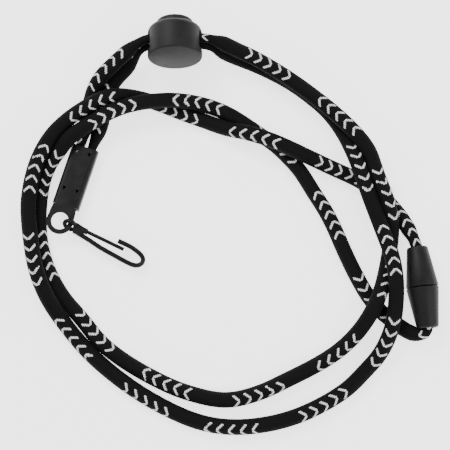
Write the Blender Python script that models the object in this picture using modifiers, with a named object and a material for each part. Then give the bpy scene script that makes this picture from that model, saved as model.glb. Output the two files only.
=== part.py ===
"""Adjustable breakaway neck lanyard: two cord strands, a steel end clip with a snap hook,
a spring cord lock and a two-part breakaway. Metres, +Z up, resting on Z = 0."""
import math

import bmesh
import bpy
from mathutils import Matrix, Vector

MM = 0.001
GAP = 0.3

# Driving dimensions, in millimetres.
CORD_DIAMETER = 4.8
CORD_POINT_SPACING = 14.0
CORD_POINT_TURN = math.radians(16)
CRIMP_WIDTH = 9.8
CRIMP_HEIGHT = 5.0
CRIMP_LENGTH = 22.5
CRIMP_SHEET = 0.6
RING_Y = 28.3
RING_OUTER = 4.8
RING_HOLE = 3.1
HOOK_HEIGHT = 2.6
HOOK_STRIP = 1.7
GATE_STRIP = 1.3
EYE_RADIUS = 2.05
EYE_WIRE = 0.8
LOCK_RADIUS = 9.85
LOCK_LENGTH = 11.9
LOCK_BORE = 7.05
LOCK_FLOOR = 0.8
BUTTON_RADIUS = 6.75
BUTTON_TOP = 14.5
BUTTON_FOOT = 3.1
SPRING_WIRE = 0.5
SPRING_RADIUS = 4.0
SPRING_TURNS = 2
BREAKAWAY_LENGTH = 28.8
BREAKAWAY_MIDDLE = 5.7
BREAKAWAY_END = 3.75

# Where the assemblies lie, in millimetres, before the whole is centred.
ORIGIN_SHIFT = (-0.185, 1.994, 0.0)
CRIMP_AT = (-56.0, 7.6, 0.0)
CRIMP_TURN = 162.6
RING_AT = (-64.46, -19.4, 4.7)
HOOK_HEADING = -23.0
HOOK_PITCH = 4.0
LOCK_AT = (-23.6, 39.0, 11.05)
LOCK_HEADING = 1.0
LOCK_LEAN = 7.5
BREAKAWAY_AT = (62.4, -29.1, 5.7)
BREAKAWAY_HEADING = -83.95

# Route of each strand from inside the steel clip, through the lock and round the loop twice.
ROUTE_A = [
    (-59.5, -10.7, 2.5), (-54, 6.9, 2.5), (-52.6, 10.5, 2.5), (-50.4, 17.1, 2.4), (-49.7, 22.6, 2.4),
    (-48.8, 27.4, 2.4), (-47.2, 31, 2.4), (-44.9, 34.3, 2.4), (-41.6, 37.5, 2.6), (-39.6, 40.2, 4.2),
    (-37.6, 42.6, 6.5), (-35.3, 44.2, 8), (-32, 44.7, 8.4), (-28, 44.8, 8.4), (-19, 44.9, 8.4),
    (-13.5, 44.9, 8.4), (-10, 44.4, 7.4), (-6, 42.8, 5.3), (-2, 41.5, 3.6),
    (3.4, 39.8, 2.4), (12.4, 35.6, 2.4), (19.2, 31.6, 2.4), (26.1, 26.4, 2.4), (32.2, 20.8, 2.4),
    (36.9, 13.8, 2.8), (39.7, 7.2, 5), (42.3, -0.6, 7.8), (45.7, -11.4, 7.9), (50.4, -24.4, 7.9),
    (53.2, -32.9, 8.2), (54.3, -40.6, 8.6), (54.3, -47.8, 8), (53.1, -56.2, 7.6), (49.1, -66.1, 4),
    (43.3, -72.8, 2.4), (35.8, -79.7, 2.4), (18.9, -88.4, 2.4), (-0.5, -92, 2.4), (-15.6, -89.9, 2.4),
    (-33.7, -81.3, 2.4), (-50.4, -69, 2.4), (-62, -56.2, 3.8), (-67.9, -47.4, 6.4), (-72.2, -37.1, 7.3),
    (-74.7, -23.9, 7.3), (-75.5, -12.3, 7.3), (-73.1, 0.9, 7.3), (-67.9, 11.1, 7.5), (-61.8, 17.3, 7.8),
    (-55.1, 22, 7.8), (-49.9, 24.8, 7.8), (-45.6, 26.1, 7.3), (-40.5, 26.7, 4.2), (-35.5, 26.1, 2.5),
    (-29.7, 24.2, 2.4), (-21.8, 21, 2.4), (-13.5, 18, 2.4), (-4.9, 14.5, 3.8), (1.9, 12.5, 6.6),
    (9.9, 9.8, 7.8), (17.1, 6.7, 7.7), (25.7, 3.4, 4.4), (35.1, -0.6, 2.4), (42.3, -4.1, 2.4),
    (48.4, -8.1, 2.4), (53.8, -13, 2.4), (57.6, -18, 2.6), (60.1, -23, 4), (61.6, -26.5, 5.2),
    (62.4, -29.1, 5.6), (62.9, -33.4, 5.6),
]
ROUTE_B = [
    (-63.5, -9.3, 2.5), (-58, 8.3, 2.5), (-56.9, 12.5, 2.5), (-55.9, 17.5, 2.4), (-55.3, 21.9, 2.4),
    (-54.6, 25.3, 2.4), (-53.7, 28.7, 3), (-51, 33, 5.8), (-46.7, 37, 7.6), (-42, 40.9, 9.4),
    (-37, 44.6, 11.2), (-33.5, 45.9, 12), (-28, 46.2, 12.1), (-19, 46.4, 12.1), (-14, 46.3, 12),
    (-10, 45.7, 11.8), (-5, 44, 10.6), (-0.5, 42.2, 8.9), (3.5, 40.8, 7.8),
    (11.3, 36.3, 7.7), (19.2, 31, 7.7), (26.8, 25.3, 7.7), (32.9, 20.2, 7.7),
    (37.9, 15.5, 7.7), (42.3, 10.7, 7.7), (46, 5.4, 7.7), (48.4, -2.5, 7.7), (50.9, -9.4, 7.7),
    (52.5, -14.5, 7.5), (53.6, -19.3, 6), (53.8, -24.6, 2.9), (53.1, -29.7, 2.4), (52, -35.2, 2.6),
    (50.7, -40.2, 4.2), (48.9, -45.4, 6.8), (47.1, -49.6, 7.7), (45.1, -53.2, 7.5), (41.5, -58.6, 4.8),
    (35.1, -64.9, 2.4), (26.7, -70.3, 2.4), (16.3, -75.6, 2.4), (6, -80.2, 2.4), (-5.6, -82.7, 2.4),
    (-19.7, -79.7, 2.4), (-30.1, -75.3, 2.4), (-40.5, -69.3, 2.4), (-49.5, -62.4, 2.4),
    (-56.6, -53.8, 2.4), (-63, -46.5, 2.4), (-68.3, -37.5, 2.4), (-71.1, -28.9, 2.4),
    (-72.2, -20.5, 2.4), (-72.2, -12.9, 2.4), (-71.1, -4.4, 2.4), (-68.6, 1.7, 3.6), (-64.7, 6.4, 6.2),
    (-61.1, 10.7, 7.9), (-56.2, 14, 8), (-49.4, 18.4, 7.8), (-43.7, 21.2, 7.8), (-38.1, 22.9, 7.8),
    (-31.9, 23.8, 7.8), (-25.4, 24.3, 7.4), (-18.9, 24.2, 5.8), (-12.5, 23.1, 4.6), (-4.9, 20.5, 3),
    (1.9, 16.4, 2.4), (7.3, 12.6, 2.4), (12.7, 8.7, 2.4), (17.1, 4.3, 2.4), (21.4, -0.6, 2.4),
    (26.4, -8.8, 2.4), (30.4, -15.4, 2.4), (33.3, -21.3, 2.4), (36.5, -28.9, 2.4), (40.1, -37, 2.4),
    (43.7, -43.9, 2.4), (46.9, -48.7, 2.4), (50.9, -52.9, 2.4), (55.8, -56.7, 2.6), (58.8, -58.9, 3.4),
    (61.7, -60.2, 4.4), (64.2, -60.1, 5.2), (65.4, -59, 5.6), (65.4, -57.6, 5.6), (65, -53.7, 5.6),
]
CRIMP_GRIP = (19.0, 33.0, 0.65)
LOCK_GRIP = (12.5, 18.0, 0.66)
BREAKAWAY_GRIP = (7.0, 12.0, 0.8)

COLOURS = {
    "woven_cord": ((0.012, 0.012, 0.014, 1.0), 0.85, 0.0),
    "painted_steel": ((0.02, 0.02, 0.021, 1.0), 0.45, 0.6),
    "black_plastic": ((0.022, 0.024, 0.023, 1.0), 0.5, 0.0),
    "bright_steel": ((0.55, 0.55, 0.56, 1.0), 0.3, 1.0),
}


def clear_scene():
    for obj in list(bpy.data.objects):
        bpy.data.objects.remove(obj, do_unlink=True)


def make_collection(name):
    coll = bpy.data.collections.new(name)
    bpy.context.scene.collection.children.link(coll)
    return coll


def make_material(name):
    colour, roughness, metallic = COLOURS[name]
    mat = bpy.data.materials.new(name)
    mat.use_nodes = True
    shader = mat.node_tree.nodes["Principled BSDF"]
    shader.inputs["Base Color"].default_value = colour
    shader.inputs["Roughness"].default_value = roughness
    shader.inputs["Metallic"].default_value = metallic
    return mat


clear_scene()
PARTS = make_collection("neck_lanyard")
CUTTERS = make_collection("cutters")
MATERIALS = {name: make_material(name) for name in COLOURS}


def add_empty(name, location, rotation=(0, 0, 0), parent=None):
    empty = bpy.data.objects.new(name, None)
    empty.location = Vector(location) * MM
    empty.rotation_euler = [math.radians(angle) for angle in rotation]
    empty.parent = parent
    PARTS.objects.link(empty)
    return empty


def add_object(name, data, material=None, parent=None, coll=None):
    obj = bpy.data.objects.new(name, data)
    if material:
        data.materials.append(MATERIALS[material])
    obj.parent = parent
    (coll or PARTS).objects.link(obj)
    return obj


def smooth_mesh(mesh, angle=35.0):
    mesh.shade_smooth()
    mesh.set_sharp_from_angle(angle=math.radians(angle))


def evaluated_mesh(obj):
    """The object's mesh with its modifiers applied and loose seams welded; the object goes."""
    bpy.context.view_layer.update()
    graph = bpy.context.evaluated_depsgraph_get()
    mesh = bpy.data.meshes.new_from_object(obj.evaluated_get(graph), depsgraph=graph)
    bm = bmesh.new()
    bm.from_mesh(mesh)
    bmesh.ops.remove_doubles(bm, verts=bm.verts, dist=0.00001)
    bmesh.ops.recalc_face_normals(bm, faces=bm.faces)
    bm.to_mesh(mesh)
    bm.free()
    bpy.data.objects.remove(obj, do_unlink=True)
    return mesh


def turned(name, profile, steps, material=None, parent=None, coll=None):
    """A closed profile of (radius, height) points in millimetres, turned about Z."""
    mesh = bpy.data.meshes.new(name)
    points = [(radius * MM, 0.0, height * MM) for radius, height in profile]
    count = len(points)
    on_axis = profile[0][0] == 0.0
    edges = [(i, i + 1) for i in range(count - 1)]
    if not on_axis:
        edges.append((count - 1, 0))
    mesh.from_pydata(points, edges, [])
    obj = add_object(name, mesh, material, parent, coll)
    screw = obj.modifiers.new("turn", "SCREW")
    screw.steps = steps
    screw.render_steps = steps
    screw.use_merge_vertices = True
    screw.merge_threshold = 0.00001
    screw.use_normal_calculate = True
    return obj


def box(name, low, high, parent=None):
    bm = bmesh.new()
    bmesh.ops.create_cube(bm, size=1.0)
    low = Vector(low) * MM
    high = Vector(high) * MM
    for vert in bm.verts:
        vert.co = Vector([low[i] + (vert.co[i] + 0.5) * (high[i] - low[i]) for i in range(3)])
    mesh = bpy.data.meshes.new(name)
    bm.to_mesh(mesh)
    bm.free()
    return cutter(name, mesh, parent)


def cutter(name, mesh, parent=None):
    obj = add_object(name, mesh, None, parent, CUTTERS)
    obj.hide_render = True
    obj.display_type = "WIRE"
    return obj


def boolean(obj, other, operation):
    mod = obj.modifiers.new(operation.lower() + "_" + other.name, "BOOLEAN")
    mod.operation = operation
    mod.object = other
    mod.solver = "EXACT"


def flat_outline(name, outlines, thickness):
    """Mesh of a flat outline (with holes), as thick as given and centred on Z = 0."""
    curve = bpy.data.curves.new(name, "CURVE")
    curve.dimensions = "2D"
    curve.fill_mode = "BOTH"
    curve.extrude = thickness / 2 * MM
    for outline in outlines:
        spline = curve.splines.new("POLY")
        spline.points.add(len(outline) - 1)
        for point, (x, y) in zip(spline.points, outline):
            point.co = (x * MM, y * MM, 0.0, 1.0)
        spline.use_cyclic_u = True
    return evaluated_mesh(add_object(name, curve))


def strip(name, points, width, height):
    """Mesh of a strip that stands on edge and follows points, with rounded long edges."""
    curve = bpy.data.curves.new(name, "CURVE")
    curve.dimensions = "3D"
    curve.bevel_depth = width / 2 * MM
    curve.bevel_resolution = 2
    curve.extrude = (height - width) / 2 * MM
    curve.use_fill_caps = True
    curve.twist_mode = "Z_UP"
    spline = curve.splines.new("POLY")
    spline.points.add(len(points) - 1)
    for point, (x, y) in zip(spline.points, points):
        point.co = (x * MM, y * MM, 0.0, 1.0)
    return evaluated_mesh(add_object(name, curve))


def arc(centre, radius, start, end, count):
    """Points on an arc, angles in degrees."""
    result = []
    for i in range(count + 1):
        angle = math.radians(start + (end - start) * i / count)
        result.append((centre[0] + radius * math.cos(angle), centre[1] + radius * math.sin(angle)))
    return result


def knot_times(points):
    times = [0.0]
    for before, after in zip(points, points[1:]):
        times.append(times[-1] + math.sqrt((after - before).length))
    return times


def blend_points(a, b, t, t_a, t_b):
    return a * ((t_b - t) / (t_b - t_a)) + b * ((t - t_a) / (t_b - t_a))


def smooth_route(route, floor, step=0.5):
    """A centripetal Catmull-Rom curve through the route, no lower than floor."""
    pts = [Vector(point) for point in route]
    pts = [2 * pts[0] - pts[1]] + pts + [2 * pts[-1] - pts[-2]]
    path = []
    for i in range(1, len(pts) - 2):
        quad = pts[i - 1:i + 3]
        times = knot_times(quad)
        count = max(2, int((quad[2] - quad[1]).length / step))
        for k in range(count):
            t = times[1] + (times[2] - times[1]) * k / count
            level = [blend_points(quad[j], quad[j + 1], t, times[j], times[j + 1]) for j in range(3)]
            low = blend_points(level[0], level[1], t, times[0], times[2])
            high = blend_points(level[1], level[2], t, times[1], times[3])
            path.append(blend_points(low, high, t, times[1], times[2]))
    path.append(pts[-2])
    for point in path:
        point.z = max(point.z, floor)
    return path


def arc_lengths(path):
    lengths = [0.0]
    for before, after in zip(path, path[1:]):
        lengths.append(lengths[-1] + (after - before).length)
    return lengths


def ramp(distance, grip):
    """Radius ratio: the grip's ratio up to its inner distance, full size beyond its outer one."""
    inner, outer, ratio = grip
    share = min(max((distance - inner) / (outer - inner), 0.0), 1.0)
    return ratio + (1.0 - ratio) * share


def cord(name, route, parent):
    """A strand: a tube along the route, squeezed where the clip, lock and breakaway hold it."""
    path = smooth_route(route, CORD_DIAMETER / 2)
    lengths = arc_lengths(path)
    lock = Vector(LOCK_AT[:2] + (0.0,))
    chosen = [0]
    turned_by = 0.0
    for i in range(1, len(path) - 1):
        turned_by += (path[i] - path[i - 1]).angle(path[i + 1] - path[i], 0.0)
        if lengths[i] - lengths[chosen[-1]] > CORD_POINT_SPACING or turned_by > CORD_POINT_TURN:
            chosen.append(i)
            turned_by = 0.0
    chosen.append(len(path) - 1)
    curve = bpy.data.curves.new(name, "CURVE")
    curve.dimensions = "3D"
    curve.bevel_depth = CORD_DIAMETER / 2 * MM
    curve.bevel_resolution = 2
    curve.use_fill_caps = True
    spline = curve.splines.new("POLY")
    spline.points.add(len(chosen) - 1)
    for point, i in zip(spline.points, chosen):
        point.co = (*(path[i] * MM), 1.0)
        sideways = abs(path[i].x - lock.x) + 2 * max(lock.y - path[i].y, 0.0)
        squeezed = (ramp(lengths[i], CRIMP_GRIP), ramp(sideways, LOCK_GRIP),
                    ramp(lengths[-1] - lengths[i], BREAKAWAY_GRIP))
        point.radius = min(squeezed)
    return add_object(name, curve, "woven_cord", parent)


def crimp_section():
    """Outer line of the folded sheet, from one edge of the seam round to the other."""
    half = CRIMP_WIDTH / 2
    bend = 1.5
    seam = 0.4
    corners = [(half - bend, bend, -90, 0), (half - bend, CRIMP_HEIGHT - bend, 0, 90),
               (bend - half, CRIMP_HEIGHT - bend, 90, 180), (bend - half, bend, 180, 270)]
    line = [(seam, 0.0)]
    for x, z, start, end in corners:
        line += arc((x, z), bend, start, end, 5)
    return line + [(-seam, 0.0)]


def crimp_channel():
    bm = bmesh.new()
    near = [bm.verts.new((x * MM, 0.0, z * MM)) for x, z in crimp_section()]
    far = [bm.verts.new((x * MM, CRIMP_LENGTH * MM, z * MM)) for x, z in crimp_section()]
    for i in range(len(near) - 1):
        bm.faces.new((near[i], near[i + 1], far[i + 1], far[i]))
    mesh = bpy.data.meshes.new("channel")
    bm.to_mesh(mesh)
    bm.free()
    obj = add_object("channel", mesh)
    shell = obj.modifiers.new("sheet", "SOLIDIFY")
    shell.thickness = CRIMP_SHEET * MM
    shell.offset = 1.0
    shell.use_even_offset = True
    return evaluated_mesh(obj)


def crimp_plate(parent):
    """Folded steel clip: a channel that grips both strands, and a plate with a ring hole."""
    obj = add_object("crimp_plate", crimp_channel(), "painted_steel", parent)
    tongue = [(-3.2, 20.5), (3.2, 20.5), (3.2, 22.3), (4.3, 23.0), (4.6, 25.4)]
    tongue += arc((0.0, RING_Y), RING_OUTER, -12, 192, 28)
    tongue += [(-4.6, 25.4), (-4.3, 23.0), (-3.2, 22.3)]
    hole = arc((0.0, RING_Y), RING_HOLE, 360, 360 / 28, 27)
    plate = cutter("ring_plate", flat_outline("ring_plate", [tongue, hole], CRIMP_SHEET - 0.1), parent)
    plate.location.z = RING_AT[2] * MM
    boolean(obj, plate, "UNION")
    for index, (x, y) in enumerate(((2.4, 2.4), (-2.4, 2.4), (2.4, 16.4), (-2.4, 16.4))):
        corner = [(x - 0.7, y - 0.6), (x + 0.7, y - 0.6), (x, y + 0.9)]
        name = "prong_hole_%d" % index
        prong = cutter(name, flat_outline(name, [corner], 1.6), parent)
        prong.location.z = RING_AT[2] * MM
        boolean(obj, prong, "DIFFERENCE")
    return obj


HOOK_SPINE = [(7.0, -1.4, 0), (8.6, -1.7, 0), (12.8, -2.3, 0), (17.0, -3.1, 0), (24.0, -3.8, 0),
              (28.6, -4.2, 0), (31.0, -4.0, 0), (32.4, -3.1, 0), (32.9, -1.8, 0), (32.5, -0.6, 0),
              (31.3, 0.3, 0), (29.4, 0.95, 0), (26.6, 1.5, 0), (21.9, 1.65, 0)]
HOOK_NECK = [(5.4, -0.9), (5.9, -2.2), (8.6, -2.25), (9.4, -0.85), (10.6, -0.6), (10.6, 1.1), (8.4, 1.25),
             (7.2, 1.5), (5.9, 1.7), (5.4, 0.9)]
GATE_LINE = [(10.95, 0.2), (15.0, 0.05), (24.9, -0.4)]
GATE_ROOT = [(8.4, 0.25), (11.8, 0.18)]
GATE_ROOT_HEIGHT = 1.35
GATE_SLOT_HALF = 0.95
GATE_PIVOT = (9.4, 0.25)
EYE_X = 3.95
EYE_TILT = 55.0


def hook_eye():
    """Mesh of the eye, tilted about the line from the ring's centre so that it links the rim."""
    bm = bmesh.new()
    bmesh.ops.create_circle(bm, segments=10, radius=EYE_WIRE * MM)
    mesh = bpy.data.meshes.new("eye_section")
    bm.to_mesh(mesh)
    bm.free()
    mesh.transform(Matrix.Translation((EYE_RADIUS * MM, 0, 0)) @ Matrix.Rotation(math.pi / 2, 4, "X"))
    eye = add_object("hook_eye", mesh)
    screw = eye.modifiers.new("turn", "SCREW")
    screw.steps = 24
    screw.render_steps = 24
    screw.use_merge_vertices = True
    screw.merge_threshold = 0.00001
    ring = evaluated_mesh(eye)
    lift = EYE_X * math.sin(math.radians(HOOK_PITCH))
    ring.transform(Matrix.Translation((EYE_X * MM, 0, lift * MM))
                   @ Matrix.Rotation(math.radians(EYE_TILT), 4, "X"))
    return ring


def hook_frame(parent):
    """Snap hook body: eye round the ring, forked neck, and a strip curled back to a nose."""
    obj = add_object("hook_frame", hook_eye(), "painted_steel", parent)
    neck_mesh = flat_outline("hook_neck", [HOOK_NECK], HOOK_HEIGHT)
    boolean(obj, cutter("hook_neck", neck_mesh, parent), "UNION")
    line = [(point.x, point.y) for point in smooth_route(HOOK_SPINE, 0.0, 1.2)]
    spine_mesh = strip("hook_spine", line, HOOK_STRIP, HOOK_HEIGHT - 0.1)
    boolean(obj, cutter("hook_spine", spine_mesh, parent), "UNION")
    slot = box("gate_slot", (7.9, -0.7, -GATE_SLOT_HALF), (11.5, 2.0, GATE_SLOT_HALF), parent)
    boolean(obj, slot, "DIFFERENCE")
    return obj


def hook_gate(parent):
    """Gate leaf, with a thinner root that turns in the neck's fork."""
    to_pivot = Matrix.Translation((-GATE_PIVOT[0] * MM, -GATE_PIVOT[1] * MM, 0.0))
    leaf = strip("hook_gate", GATE_LINE, GATE_STRIP, HOOK_HEIGHT - 0.3)
    leaf.transform(to_pivot)
    obj = add_object("hook_gate", leaf, "painted_steel", parent)
    obj.location = (GATE_PIVOT[0] * MM, GATE_PIVOT[1] * MM, 0.0)
    root = strip("gate_root", GATE_ROOT, GATE_STRIP - 0.1, GATE_ROOT_HEIGHT)
    boolean(obj, cutter("gate_root", root, parent), "UNION")
    return obj


def lock_body(parent):
    """Squat cup with a rounded shoulder, a bore for the button and a slot across for the cords."""
    shoulder = arc((LOCK_RADIUS - 2.4, LOCK_LENGTH - 2.4), 2.4, 80, 0, 6)
    foot = arc((LOCK_RADIUS - 0.6, 0.6), 0.6, 0, -90, 3)
    line = [(0.0, LOCK_FLOOR), (LOCK_BORE, LOCK_FLOOR), (LOCK_BORE, LOCK_LENGTH)]
    line += shoulder + foot + [(0.0, 0.0)]
    obj = turned("lock_body", line, 40, "black_plastic", parent)
    slot = box("body_slot", (-12.0, -4.0, 2.6), (12.0, 4.0, 9.0), parent)
    boolean(obj, slot, "DIFFERENCE")
    return obj


def lock_plunger(parent):
    """Button that the spring pushes out, with the same slot across as the body."""
    top = BUTTON_TOP
    line = [(0.0, top - 0.25), (3.2, top - 0.2), (4.6, top)]
    line += arc((BUTTON_RADIUS - 1.1, top - 1.1), 1.1, 90, 0, 5)
    line += [(BUTTON_RADIUS, BUTTON_FOOT), (0.0, BUTTON_FOOT)]
    obj = turned("lock_plunger", line, 32, "black_plastic", parent)
    slot = box("plunger_slot", (-9.0, -4.0, 4.2), (9.0, 4.0, 10.2), parent)
    boolean(obj, slot, "DIFFERENCE")
    return obj


def lock_spring(parent):
    curve = bpy.data.curves.new("lock_spring", "CURVE")
    curve.dimensions = "3D"
    curve.bevel_depth = SPRING_WIRE / 2 * MM
    curve.bevel_resolution = 2
    curve.use_fill_caps = True
    count = SPRING_TURNS * 16
    low = LOCK_FLOOR + 0.1 + SPRING_WIRE / 2
    rise = BUTTON_FOOT - 0.1 - SPRING_WIRE / 2 - low
    spline = curve.splines.new("POLY")
    spline.points.add(count)
    for i, point in enumerate(spline.points):
        angle = 2 * math.pi * SPRING_TURNS * i / count
        point.co = (SPRING_RADIUS * math.cos(angle) * MM, SPRING_RADIUS * math.sin(angle) * MM,
                    (low + rise * i / count) * MM, 1.0)
    return add_object("lock_spring", curve, "bright_steel", parent)


def socket_half(parent):
    """Upper half of the breakaway: cord bore, chamber, and a grooved mouth for the plug's bead."""
    middle = BREAKAWAY_LENGTH / 2 - GAP / 2
    line = [(2.75, 0.0), (2.75, 4.4), (3.6, 5.2), (3.6, 9.2), (4.4, 9.9), (4.7, 10.6), (4.7, 12.2),
            (4.5, 12.8), (4.5, middle), (BREAKAWAY_MIDDLE - 0.1, middle), (BREAKAWAY_MIDDLE, middle - 0.3)]
    line += [(BREAKAWAY_END, 0.5), (BREAKAWAY_END - 0.35, 0.0)]
    return turned("breakaway_socket_half", line, 32, "black_plastic", parent)


def plug_half(parent):
    """Lower half of the breakaway: a tubular spigot with a bead, a chamber and the cord bore."""
    start = BREAKAWAY_LENGTH / 2 + GAP / 2
    end = BREAKAWAY_LENGTH
    line = [(3.3, 10.4), (3.3, 19.0), (3.6, 19.6), (3.6, 23.6), (2.75, 24.4), (2.75, end),
            (BREAKAWAY_END - 0.3, end), (BREAKAWAY_END + 0.15, end - 0.5), (BREAKAWAY_MIDDLE, start + 0.3),
            (BREAKAWAY_MIDDLE - 0.1, start), (4.1, start), (4.1, 12.6), (4.35, 12.0), (4.35, 11.0),
            (4.0, 10.4)]
    return turned("breakaway_plug_half", line, 32, "black_plastic", parent)


def cord_stop(name, low, high, parent):
    """Melted bead on a strand's end, wider than the bore that it sits behind."""
    line = [(0.0, high), (2.6, high), (3.15, high - 0.5), (3.15, low + 0.5), (2.6, low), (0.0, low)]
    return turned(name, line, 20, "woven_cord", parent)


def build():
    root = add_empty("lanyard_root", ORIGIN_SHIFT)
    cord("cord_strand_a", ROUTE_A, root)
    cord("cord_strand_b", ROUTE_B, root)
    crimp_plate(add_empty("crimp_frame", CRIMP_AT, (0, 0, CRIMP_TURN), root))
    swing = add_empty("hook_axis", RING_AT, (0, HOOK_PITCH, HOOK_HEADING), root)
    hook_frame(swing)
    hook_gate(swing)
    lock = add_empty("lock_axis", LOCK_AT, (-90 - LOCK_LEAN, 0, LOCK_HEADING), root)
    lock_body(lock)
    lock_spring(lock)
    lock_plunger(lock)
    barrel = add_empty("breakaway_axis", BREAKAWAY_AT, (0, 90, BREAKAWAY_HEADING), root)
    socket_half(barrel)
    cord_stop("cord_stop_a", 4.75, 8.75, barrel)
    plug_half(barrel)
    cord_stop("cord_stop_b", 20.0, 24.0, barrel)


build()
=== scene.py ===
"""Looks of the neck lanyard: woven cord, painted steel clip and hook, moulded lock and breakaway."""
import math

import bmesh
import bpy
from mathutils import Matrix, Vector


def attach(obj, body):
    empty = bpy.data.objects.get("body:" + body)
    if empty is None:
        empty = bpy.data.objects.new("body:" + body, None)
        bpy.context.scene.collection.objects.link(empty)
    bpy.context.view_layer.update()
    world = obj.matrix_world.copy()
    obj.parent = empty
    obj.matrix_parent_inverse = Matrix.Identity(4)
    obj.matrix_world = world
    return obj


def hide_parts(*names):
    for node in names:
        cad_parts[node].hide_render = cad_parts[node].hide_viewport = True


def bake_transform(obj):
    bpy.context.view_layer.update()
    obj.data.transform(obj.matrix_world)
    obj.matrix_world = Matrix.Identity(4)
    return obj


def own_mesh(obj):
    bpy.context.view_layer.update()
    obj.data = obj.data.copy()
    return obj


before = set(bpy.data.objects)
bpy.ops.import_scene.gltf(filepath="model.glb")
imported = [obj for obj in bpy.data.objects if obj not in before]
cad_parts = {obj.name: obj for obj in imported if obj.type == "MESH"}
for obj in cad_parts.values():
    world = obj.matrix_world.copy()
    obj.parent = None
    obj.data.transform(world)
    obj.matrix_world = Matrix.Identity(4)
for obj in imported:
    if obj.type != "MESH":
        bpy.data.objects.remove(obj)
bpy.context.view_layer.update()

MM = 0.001

# Routes of the two strands, in millimetres, with the shift that centres the lanyard.
ORIGIN_SHIFT = Vector((-0.185, 1.994, 0.0))
LOCK_CENTRE = Vector((-23.785, 40.994, 0.0))
ROUTE_A = [
    (-59.5, -10.7, 2.5), (-54, 6.9, 2.5), (-52.6, 10.5, 2.5), (-50.4, 17.1, 2.4), (-49.7, 22.6, 2.4),
    (-48.8, 27.4, 2.4), (-47.2, 31, 2.4), (-44.9, 34.3, 2.4), (-41.6, 37.5, 2.6), (-39.6, 40.2, 4.2),
    (-37.6, 42.6, 6.5), (-35.3, 44.2, 8), (-32, 44.7, 8.4), (-28, 44.8, 8.4), (-19, 44.9, 8.4),
    (-13.5, 44.9, 8.4), (-10, 44.4, 7.4), (-6, 42.8, 5.3), (-2, 41.5, 3.6),
    (3.4, 39.8, 2.4), (12.4, 35.6, 2.4), (19.2, 31.6, 2.4), (26.1, 26.4, 2.4), (32.2, 20.8, 2.4),
    (36.9, 13.8, 2.8), (39.7, 7.2, 5), (42.3, -0.6, 7.8), (45.7, -11.4, 7.9), (50.4, -24.4, 7.9),
    (53.2, -32.9, 8.2), (54.3, -40.6, 8.6), (54.3, -47.8, 8), (53.1, -56.2, 7.6), (49.1, -66.1, 4),
    (43.3, -72.8, 2.4), (35.8, -79.7, 2.4), (18.9, -88.4, 2.4), (-0.5, -92, 2.4), (-15.6, -89.9, 2.4),
    (-33.7, -81.3, 2.4), (-50.4, -69, 2.4), (-62, -56.2, 3.8), (-67.9, -47.4, 6.4), (-72.2, -37.1, 7.3),
    (-74.7, -23.9, 7.3), (-75.5, -12.3, 7.3), (-73.1, 0.9, 7.3), (-67.9, 11.1, 7.5), (-61.8, 17.3, 7.8),
    (-55.1, 22, 7.8), (-49.9, 24.8, 7.8), (-45.6, 26.1, 7.3), (-40.5, 26.7, 4.2), (-35.5, 26.1, 2.5),
    (-29.7, 24.2, 2.4), (-21.8, 21, 2.4), (-13.5, 18, 2.4), (-4.9, 14.5, 3.8), (1.9, 12.5, 6.6),
    (9.9, 9.8, 7.8), (17.1, 6.7, 7.7), (25.7, 3.4, 4.4), (35.1, -0.6, 2.4), (42.3, -4.1, 2.4),
    (48.4, -8.1, 2.4), (53.8, -13, 2.4), (57.6, -18, 2.6), (60.1, -23, 4), (61.6, -26.5, 5.2),
    (62.4, -29.1, 5.6), (62.9, -33.4, 5.6),
]
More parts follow.
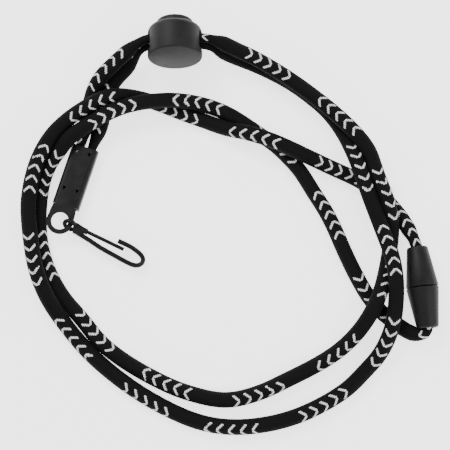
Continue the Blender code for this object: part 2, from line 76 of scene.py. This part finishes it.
ROUTE_B = [
    (-63.5, -9.3, 2.5), (-58, 8.3, 2.5), (-56.9, 12.5, 2.5), (-55.9, 17.5, 2.4), (-55.3, 21.9, 2.4),
    (-54.6, 25.3, 2.4), (-53.7, 28.7, 3), (-51, 33, 5.8), (-46.7, 37, 7.6), (-42, 40.9, 9.4),
    (-37, 44.6, 11.2), (-33.5, 45.9, 12), (-28, 46.2, 12.1), (-19, 46.4, 12.1), (-14, 46.3, 12),
    (-10, 45.7, 11.8), (-5, 44, 10.6), (-0.5, 42.2, 8.9), (3.5, 40.8, 7.8),
    (11.3, 36.3, 7.7), (19.2, 31, 7.7), (26.8, 25.3, 7.7), (32.9, 20.2, 7.7),
    (37.9, 15.5, 7.7), (42.3, 10.7, 7.7), (46, 5.4, 7.7), (48.4, -2.5, 7.7), (50.9, -9.4, 7.7),
    (52.5, -14.5, 7.5), (53.6, -19.3, 6), (53.8, -24.6, 2.9), (53.1, -29.7, 2.4), (52, -35.2, 2.6),
    (50.7, -40.2, 4.2), (48.9, -45.4, 6.8), (47.1, -49.6, 7.7), (45.1, -53.2, 7.5), (41.5, -58.6, 4.8),
    (35.1, -64.9, 2.4), (26.7, -70.3, 2.4), (16.3, -75.6, 2.4), (6, -80.2, 2.4), (-5.6, -82.7, 2.4),
    (-19.7, -79.7, 2.4), (-30.1, -75.3, 2.4), (-40.5, -69.3, 2.4), (-49.5, -62.4, 2.4),
    (-56.6, -53.8, 2.4), (-63, -46.5, 2.4), (-68.3, -37.5, 2.4), (-71.1, -28.9, 2.4),
    (-72.2, -20.5, 2.4), (-72.2, -12.9, 2.4), (-71.1, -4.4, 2.4), (-68.6, 1.7, 3.6), (-64.7, 6.4, 6.2),
    (-61.1, 10.7, 7.9), (-56.2, 14, 8), (-49.4, 18.4, 7.8), (-43.7, 21.2, 7.8), (-38.1, 22.9, 7.8),
    (-31.9, 23.8, 7.8), (-25.4, 24.3, 7.4), (-18.9, 24.2, 5.8), (-12.5, 23.1, 4.6), (-4.9, 20.5, 3),
    (1.9, 16.4, 2.4), (7.3, 12.6, 2.4), (12.7, 8.7, 2.4), (17.1, 4.3, 2.4), (21.4, -0.6, 2.4),
    (26.4, -8.8, 2.4), (30.4, -15.4, 2.4), (33.3, -21.3, 2.4), (36.5, -28.9, 2.4), (40.1, -37, 2.4),
    (43.7, -43.9, 2.4), (46.9, -48.7, 2.4), (50.9, -52.9, 2.4), (55.8, -56.7, 2.6), (58.8, -58.9, 3.4),
    (61.7, -60.2, 4.4), (64.2, -60.1, 5.2), (65.4, -59, 5.6), (65.4, -57.6, 5.6), (65, -53.7, 5.6),
]
CORD_RADIUS = 2.4
CORD_WIDTH_RATIO = 1.13
CORD_HEIGHT_RATIO = 0.97
CRIMP_GRIP = (18.6, 27.0, 0.66)
LOCK_GRIP = (12.5, 18.0, 0.66)
BREAKAWAY_GRIP = (7.0, 12.0, 0.8)
STITCH = 0.45
AROUND = 34
RELAX_ROUNDS = 40
TIGHTEST_RATIO = 0.65
RIB_HEIGHT = 0.07
RIPPLE_HEIGHT = 0.03
LOWEST_STITCH = 0.02
WHITE_RAISE = 0.00003
WHITE_SPREAD = 0.04

# The white motif, counted in stitches: a row of chevrons, repeated along the cord.
MOTIF_PITCH = 72
MOTIF_ROWS = 9
CHEVRONS = 5
CHEVRON_PITCH = 9
CHEVRON_SLOPE = 0.8
CHEVRON_HALF_LINE = 0.9

FLOOR_DROP = 0.0002


# ---------------------------------------------------------------- materials

def new_material(name, colour, roughness, metallic=0.0):
    mat = bpy.data.materials.new(name)
    mat.use_nodes = True
    shader = mat.node_tree.nodes["Principled BSDF"]
    shader.inputs["Base Color"].default_value = (*colour, 1.0)
    shader.inputs["Roughness"].default_value = roughness
    shader.inputs["Metallic"].default_value = metallic
    return mat, shader


def object_noise(mat, scale, detail=4.0):
    nodes = mat.node_tree.nodes
    coords = nodes.new("ShaderNodeTexCoord")
    noise = nodes.new("ShaderNodeTexNoise")
    noise.inputs["Scale"].default_value = scale
    noise.inputs["Detail"].default_value = detail
    mat.node_tree.links.new(coords.outputs["Object"], noise.inputs["Vector"])
    return noise


def ramp_colour(mat, source, shader, dark, light, low=0.3, high=0.7):
    ramp = mat.node_tree.nodes.new("ShaderNodeValToRGB")
    ramp.color_ramp.elements[0].position = low
    ramp.color_ramp.elements[0].color = (*dark, 1.0)
    ramp.color_ramp.elements[1].position = high
    ramp.color_ramp.elements[1].color = (*light, 1.0)
    mat.node_tree.links.new(source, ramp.inputs["Fac"])
    mat.node_tree.links.new(ramp.outputs["Color"], shader.inputs["Base Color"])


def vary_roughness(mat, source, shader, low, high):
    spread = mat.node_tree.nodes.new("ShaderNodeMapRange")
    spread.inputs["To Min"].default_value = low
    spread.inputs["To Max"].default_value = high
    mat.node_tree.links.new(source, spread.inputs["Value"])
    mat.node_tree.links.new(spread.outputs["Result"], shader.inputs["Roughness"])


def add_bump(mat, source, shader, strength, distance):
    bump = mat.node_tree.nodes.new("ShaderNodeBump")
    bump.inputs["Strength"].default_value = strength
    bump.inputs["Distance"].default_value = distance
    mat.node_tree.links.new(source, bump.inputs["Height"])
    mat.node_tree.links.new(bump.outputs["Normal"], shader.inputs["Normal"])


def yarn(name, dark, light, sheen):
    """Woven polyester yarn: matt, with a soft sheen, and fibres that vary in tone."""
    mat, shader = new_material(name, dark, 0.8)
    noise = object_noise(mat, 1500.0)
    ramp_colour(mat, noise.outputs["Fac"], shader, dark, light)
    vary_roughness(mat, noise.outputs["Fac"], shader, 0.65, 0.95)
    add_bump(mat, object_noise(mat, 5000.0, 2.0).outputs["Fac"], shader, 0.5, 0.0001)
    shader.inputs["Specular IOR Level"].default_value = 0.12
    shader.inputs["Sheen Weight"].default_value = sheen
    shader.inputs["Sheen Roughness"].default_value = 0.4
    return mat


def moulded(name, dark, light, roughness, grain):
    """Moulded plastic with a fine spark-eroded grain and slight handling marks."""
    mat, shader = new_material(name, dark, roughness)
    shader.inputs["Specular IOR Level"].default_value = 0.2
    broad = object_noise(mat, 260.0, 6.0)
    ramp_colour(mat, broad.outputs["Fac"], shader, dark, light)
    vary_roughness(mat, broad.outputs["Fac"], shader, roughness - 0.06, roughness + 0.1)
    add_bump(mat, object_noise(mat, grain, 3.0).outputs["Fac"], shader, 0.25, 0.00008)
    return mat


def painted(name):
    """Black baked paint on steel, satin, thinner and brighter in small rubbed spots."""
    mat, shader = new_material(name, (0.012, 0.012, 0.013), 0.42)
    broad = object_noise(mat, 420.0, 8.0)
    ramp_colour(mat, broad.outputs["Fac"], shader, (0.0025, 0.0025, 0.0024), (0.0075, 0.0075, 0.007),
                low=0.4, high=0.78)
    vary_roughness(mat, broad.outputs["Fac"], shader, 0.34, 0.52)
    add_bump(mat, object_noise(mat, 1800.0, 2.0).outputs["Fac"], shader, 0.15, 0.00006)
    shader.inputs["Specular IOR Level"].default_value = 0.18
    return mat


def spring_wire(name):
    mat, shader = new_material(name, (0.55, 0.55, 0.56), 0.3, 1.0)
    noise = object_noise(mat, 900.0)
    vary_roughness(mat, noise.outputs["Fac"], shader, 0.22, 0.4)
    return mat


BLACK_YARN = yarn("black_yarn", (0.0012, 0.0012, 0.0015), (0.0045, 0.0045, 0.0052), 0.01)
WHITE_YARN = yarn("white_yarn", (0.5, 0.5, 0.51), (0.82, 0.82, 0.83), 0.1)
LOCK_PLASTIC = moulded("lock_plastic", (0.0045, 0.005, 0.0046), (0.0095, 0.01, 0.0092), 0.52, 2600.0)
BARREL_PLASTIC = moulded("barrel_plastic", (0.003, 0.0034, 0.0032), (0.0065, 0.007, 0.0066), 0.48, 3400.0)
PAINTED_STEEL = painted("painted_steel_black")
SPRING_STEEL = spring_wire("spring_steel")


# ---------------------------------------------------------------- cord centreline

def knot_times(points):
    times = [0.0]
    for before, after in zip(points, points[1:]):
        times.append(times[-1] + math.sqrt((after - before).length))
    return times


def blend_points(a, b, t, t_a, t_b):
    return a * ((t_b - t) / (t_b - t_a)) + b * ((t - t_a) / (t_b - t_a))


def smooth_route(route, floor, step=0.25):
    """A centripetal Catmull-Rom curve through the route, no lower than floor."""
    pts = [Vector(point) + ORIGIN_SHIFT for point in route]
    pts = [2 * pts[0] - pts[1]] + pts + [2 * pts[-1] - pts[-2]]
    path = []
    for i in range(1, len(pts) - 2):
        quad = pts[i - 1:i + 3]
        times = knot_times(quad)
        count = max(2, int((quad[2] - quad[1]).length / step))
        for k in range(count):
            t = times[1] + (times[2] - times[1]) * k / count
            level = [blend_points(quad[j], quad[j + 1], t, times[j], times[j + 1]) for j in range(3)]
            low = blend_points(level[0], level[1], t, times[0], times[2])
            high = blend_points(level[1], level[2], t, times[1], times[3])
            path.append(blend_points(low, high, t, times[1], times[2]))
    path.append(pts[-2])
    for point in path:
        point.z = max(point.z, floor)
    return path


def resampled(path, spacing):
    """Points at an even spacing along the path."""
    result = [path[0].copy()]
    left = spacing
    for before, after in zip(path, path[1:]):
        gap = (after - before).length
        while gap >= left:
            before = before + (after - before) * (left / gap)
            result.append(before)
            gap = (after - before).length
            left = spacing
        left -= gap
    return result


def relaxed(points, rounds):
    """Evens out the bends, as a soft cord does, with both ends held."""
    for _ in range(rounds):
        middle = [(a + 2 * b + c) / 4 for a, b, c in zip(points, points[1:], points[2:])]
        points = [points[0]] + middle + [points[-1]]
    return points


def squeeze(distance, grip):
    inner, outer, ratio = grip
    share = min(max((distance - inner) / (outer - inner), 0.0), 1.0)
    share = share * share * (3 - 2 * share)
    return ratio + (1.0 - ratio) * share


# ---------------------------------------------------------------- woven motif

def chevron(u, v):
    return abs(u - 1.0 - abs(v) * CHEVRON_SLOPE) < CHEVRON_HALF_LINE


def is_white(ring, row, offset, flipped):
    """Whether a stitch belongs to the white motif; row counts from the motif's middle line."""
    along = (ring + offset) % MOTIF_PITCH
    if flipped:
        along = CHEVRONS * CHEVRON_PITCH - 1 - along
    cell, u = divmod(along, CHEVRON_PITCH)
    if not 0 <= cell < CHEVRONS or abs(row) > MOTIF_ROWS / 2:
        return False
    return chevron(u, row)


def cord_mesh(name, route, offset, facing):
    """A woven tube: one face for each stitch, raised along its ribs, in black and white yarn."""
    path = relaxed(resampled(smooth_route(route, CORD_RADIUS), STITCH), RELAX_ROUNDS)
    for point in path:
        point.z = max(point.z, CORD_RADIUS)
    count = len(path)
    bm = bmesh.new()
    rings = []
    for i, point in enumerate(path):
        ahead = path[min(i + 2, count - 1)]
        behind = path[max(i - 2, 0)]
        tangent = (ahead - behind).normalized()
        side = tangent.cross(Vector((0, 0, 1))).normalized()
        up = side.cross(tangent)
        start = i * STITCH
        sideways = abs(point.x - LOCK_CENTRE.x) + 2 * max(LOCK_CENTRE.y - point.y, 0.0)
        ratio = min(squeeze(start, CRIMP_GRIP), squeeze(sideways, LOCK_GRIP),
                    squeeze((count - 1 - i) * STITCH, BREAKAWAY_GRIP))
        free = (ratio - TIGHTEST_RATIO) / (1 - TIGHTEST_RATIO)
        wide = CORD_RADIUS * ratio * (1 + (CORD_WIDTH_RATIO - 1) * free)
        high = CORD_RADIUS * ratio * CORD_HEIGHT_RATIO
        ring = []
        for k in range(AROUND):
            angle = 2 * math.pi * k / AROUND
            rib = RIB_HEIGHT * math.cos(math.pi * (i + k)) + RIPPLE_HEIGHT * math.sin(angle * 3 + i * 0.11)
            offset_point = side * (math.cos(angle) * (wide + rib)) + up * (math.sin(angle) * (high + rib))
            place = point + offset_point
            place.z = max(place.z, LOWEST_STITCH)
            ring.append(bm.verts.new(place * MM))
        rings.append(ring)
    for i in range(count - 1):
        group = (i + offset) // MOTIF_PITCH
        flipped = (group + facing) % 2 == 1
        roll = math.sin(i * 0.0105 + facing * 2.1) * 2.6 + math.sin(i * 0.0037 + facing) * 2.0
        for k in range(AROUND):
            top = k - AROUND / 4 - roll
            row = top if top < AROUND / 4 else top - AROUND / 2
            face = bm.faces.new((rings[i][k], rings[i + 1][k],
                                 rings[i + 1][(k + 1) % AROUND], rings[i][(k + 1) % AROUND]))
            face.material_index = 1 if is_white(i, round(row), offset, flipped) else 0
            face.smooth = True
    bm.faces.new(rings[0])
    bm.faces.new(rings[-1][::-1])
    bmesh.ops.recalc_face_normals(bm, faces=bm.faces)
    white = [face for face in bm.faces if face.material_index == 1]
    for face in white:
        centre = face.calc_center_median()
        for vert in face.verts:
            vert.co += face.normal * WHITE_RAISE + (vert.co - centre) * WHITE_SPREAD
    mesh = bpy.data.meshes.new(name)
    bm.to_mesh(mesh)
    bm.free()
    mesh.materials.append(BLACK_YARN)
    mesh.materials.append(WHITE_YARN)
    obj = bpy.data.objects.new(name, mesh)
    bpy.context.scene.collection.objects.link(obj)
    return obj, [point * MM for point in path]


def lay_cord(name, route, offset, facing, tail=None):
    """A strand of woven cord, attached to the lanyard; one with a tail is left unattached, with its
    placement baked into the mesh.
    """
    obj, path = cord_mesh(name, route, offset, facing)
    if tail:
        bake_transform(obj)
    else:
        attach(obj, "lanyard")
    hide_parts("cord_strand_" + name[-1])


# ---------------------------------------------------------------- moulded and steel pieces

def refined(node, material, bevel, body, angle=32.0):
    """The CAD piece with its facets joined and its edges rounded, in its own material."""
    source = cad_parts[node]
    bm = bmesh.new()
    bm.from_mesh(source.data)
    bmesh.ops.remove_doubles(bm, verts=bm.verts, dist=0.000002)
    bmesh.ops.dissolve_limit(bm, angle_limit=math.radians(1.0), verts=bm.verts, edges=bm.edges)
    mesh = bpy.data.meshes.new(node + "_skin")
    bm.to_mesh(mesh)
    bm.free()
    mesh.materials.append(material)
    obj = bpy.data.objects.new(node + "_skin", mesh)
    bpy.context.scene.collection.objects.link(obj)
    rounding = obj.modifiers.new("edges", "BEVEL")
    rounding.width = bevel * MM
    rounding.segments = 3
    rounding.limit_method = "ANGLE"
    rounding.angle_limit = math.radians(angle)
    mesh.shade_smooth()
    mesh.set_sharp_from_angle(angle=math.radians(38))
    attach(obj, body)
    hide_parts(node)
    return obj


# ---------------------------------------------------------------- the studio

def studio():
    bpy.ops.mesh.primitive_plane_add(size=6.0, location=(0, 0, -FLOOR_DROP))
    floor = bpy.context.object
    floor.name = "studio_floor"
    mat, shader = new_material("floor_white", (0.92, 0.92, 0.92), 0.9)
    shader.inputs["Emission Color"].default_value = (1.0, 1.0, 1.0, 1.0)
    shader.inputs["Emission Strength"].default_value = 2.0
    floor.data.materials.append(mat)
    world = bpy.data.worlds.new("studio_world")
    world.use_nodes = True
    world.node_tree.nodes["Background"].inputs["Color"].default_value = (1.0, 1.0, 1.0, 1.0)
    world.node_tree.nodes["Background"].inputs["Strength"].default_value = 1.0
    bpy.context.scene.world = world
    for name, place, size, power in (("key", (-0.35, 0.45, 0.6), 0.35, 5.0),
                                     ("fill", (0.5, -0.3, 0.5), 0.5, 3.0)):
        light = bpy.data.lights.new(name, "AREA")
        light.size = size
        light.energy = power
        lamp = bpy.data.objects.new(name, light)
        lamp.location = place
        lamp.rotation_euler = (-Vector(place)).to_track_quat("-Z", "Y").to_euler()
        bpy.context.scene.collection.objects.link(lamp)


def add_camera():
    """Looks down at 80 degrees from the hook's side, with the whole coil in view."""
    target = Vector((-5.8, -18.1, 0.0)) * MM
    elevation = math.radians(80)
    distance = 0.45
    data = bpy.data.cameras.new("camera")
    data.lens = 100.0
    data.sensor_width = 36.0
    camera = bpy.data.objects.new("camera", data)
    camera.location = target + distance * Vector((0, -math.cos(elevation), math.sin(elevation)))
    camera.rotation_euler = (target - camera.location).to_track_quat("-Z", "Y").to_euler()
    bpy.context.scene.collection.objects.link(camera)
    bpy.context.scene.camera = camera


TAIL = ((0.0578, -0.056, 0.004), (0.0642, -0.056, 0.004))
add_camera()
lay_cord("woven_strand_a", ROUTE_A, 20, 0)
lay_cord("woven_strand_b", ROUTE_B, 58, 1, TAIL)
refined("crimp_plate", PAINTED_STEEL, 0.12, "lanyard")
refined("hook_frame", PAINTED_STEEL, 0.12, "hook")
refined("hook_gate", PAINTED_STEEL, 0.12, "gate")
refined("lock_body", LOCK_PLASTIC, 0.3, "cord_lock")
refined("lock_plunger", LOCK_PLASTIC, 0.2, "lock_button")
spring = refined("lock_spring", SPRING_STEEL, 0.02, "cord_lock")
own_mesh(spring)
refined("breakaway_socket_half", BARREL_PLASTIC, 0.18, "lanyard")
refined("breakaway_plug_half", BARREL_PLASTIC, 0.18, "breakaway_plug")
refined("cord_stop_a", BLACK_YARN, 0.2, "lanyard")
refined("cord_stop_b", BLACK_YARN, 0.2, "breakaway_plug")
studio()
